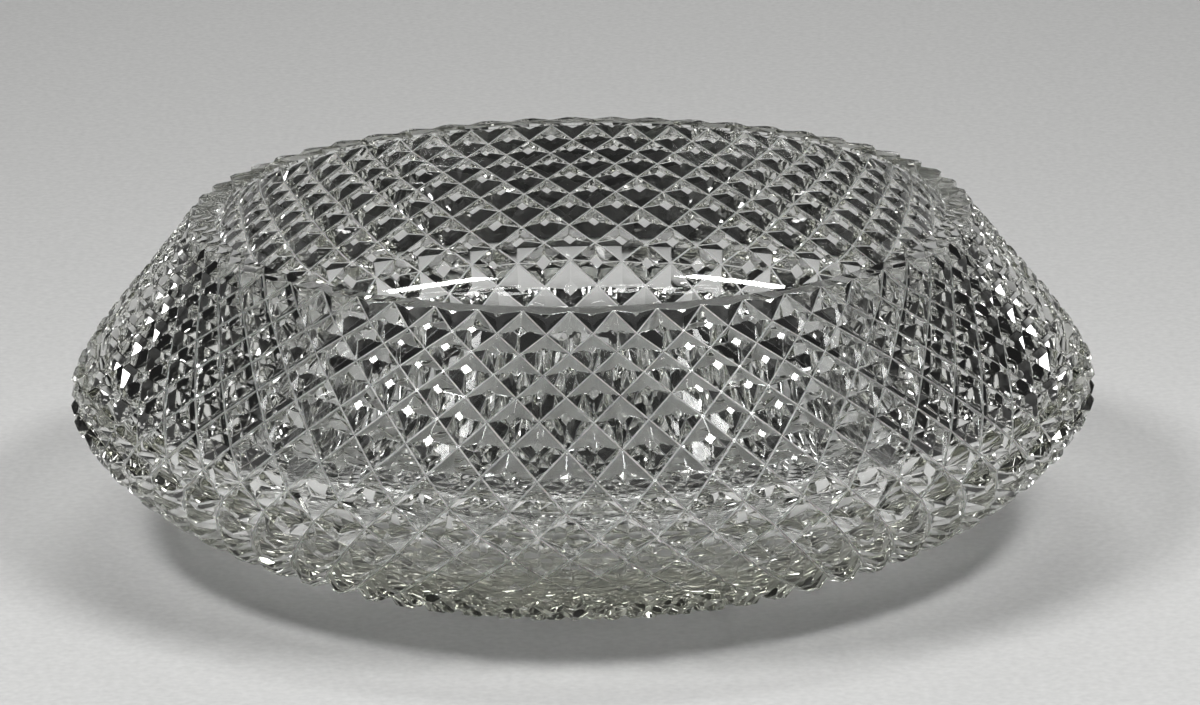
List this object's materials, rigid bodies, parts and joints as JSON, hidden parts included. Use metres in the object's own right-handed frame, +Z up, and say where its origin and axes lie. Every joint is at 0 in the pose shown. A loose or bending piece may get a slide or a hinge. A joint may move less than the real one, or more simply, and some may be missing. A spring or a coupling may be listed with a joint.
{
  "type": "centerpiece bowl",
  "caption": "Wide, low bowl of clear cut crystal with a sloping shoulder, flat ground rim and base, smooth inside and diamond-cut outside, for fruit or flowers on a table.",
  "frame": {"origin": "middle of the ground flat base, on the surface that the bowl stands on", "axes": "+Z up along the bowl's axis; X and Y are alike"},
  "size_m": [0.3196, 0.3196, 0.101],
  "materials": {
    "crystal": "clear lead crystal, cut and polished all over, with a faint olive tint in the thick edges"
  },
  "bodies": {
    "root": {"bowl": "crystal"}
  },
  "joints": []
}
